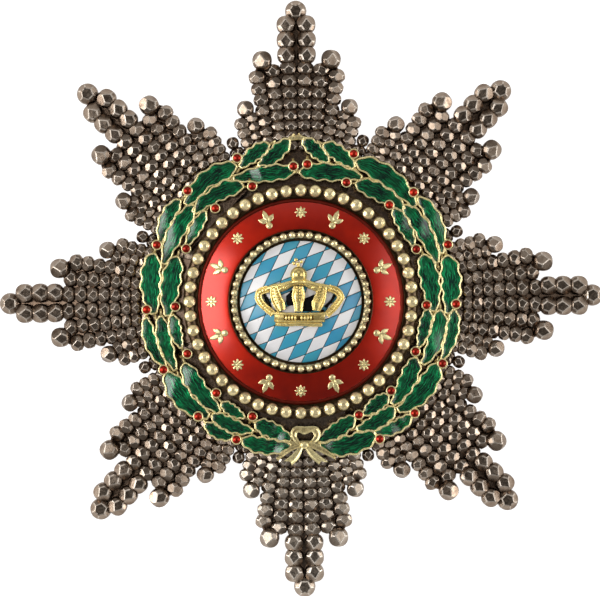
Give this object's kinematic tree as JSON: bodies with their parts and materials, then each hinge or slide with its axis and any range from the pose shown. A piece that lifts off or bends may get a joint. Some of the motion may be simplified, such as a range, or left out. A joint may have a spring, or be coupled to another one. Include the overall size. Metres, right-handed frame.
{
  "type": "breast star of an order",
  "caption": "Rayed breast star of silver beads with a gilt and enamel medallion: lozenge dome with a crown, red ring and leaf wreath, and a brooch pin at the back.",
  "frame": {"origin": "middle of the star's box, on the surface it lies on", "axes": "+Z out of the star's face, +Y along the top ray, +X to the right seen from the front"},
  "size_m": [0.0872, 0.0862, 0.0101],
  "materials": {
    "silver": "faceted and polished silver, tarnished warm grey in its recesses",
    "gilt": "pale fire-gilding, burnished on its edges and dull in its recesses",
    "red_enamel": "translucent red fired enamel, polished",
    "white_enamel": "white fired enamel, polished",
    "blue_enamel": "translucent light blue fired enamel, polished",
    "green_enamel": "translucent deep green fired enamel over engraved veins",
    "berry_enamel": "red fired enamel beads, polished"
  },
  "bodies": {
    "root": {"ray_top": "silver", "ray_top_left": "silver", "ray_left": "silver", "ray_bottom_left": "silver", "ray_bottom": "silver", "ray_bottom_right": "silver", "ray_right": "silver", "ray_top_right": "silver", "back_plate": "silver", "brooch_pin": "silver", "medallion_plate": "gilt", "outer_bead_ring": "gilt", "red_enamel_ring": "red_enamel", "ring_ornaments": "gilt", "inner_bead_ring": "gilt", "centre_dome": "white_enamel", "blue_lozenges": "blue_enamel", "crown": "gilt", "wreath_frame": "gilt", "leaf_enamel": "green_enamel", "berries": "berry_enamel", "ribbon_bow": "gilt"}
  },
  "joints": []
}
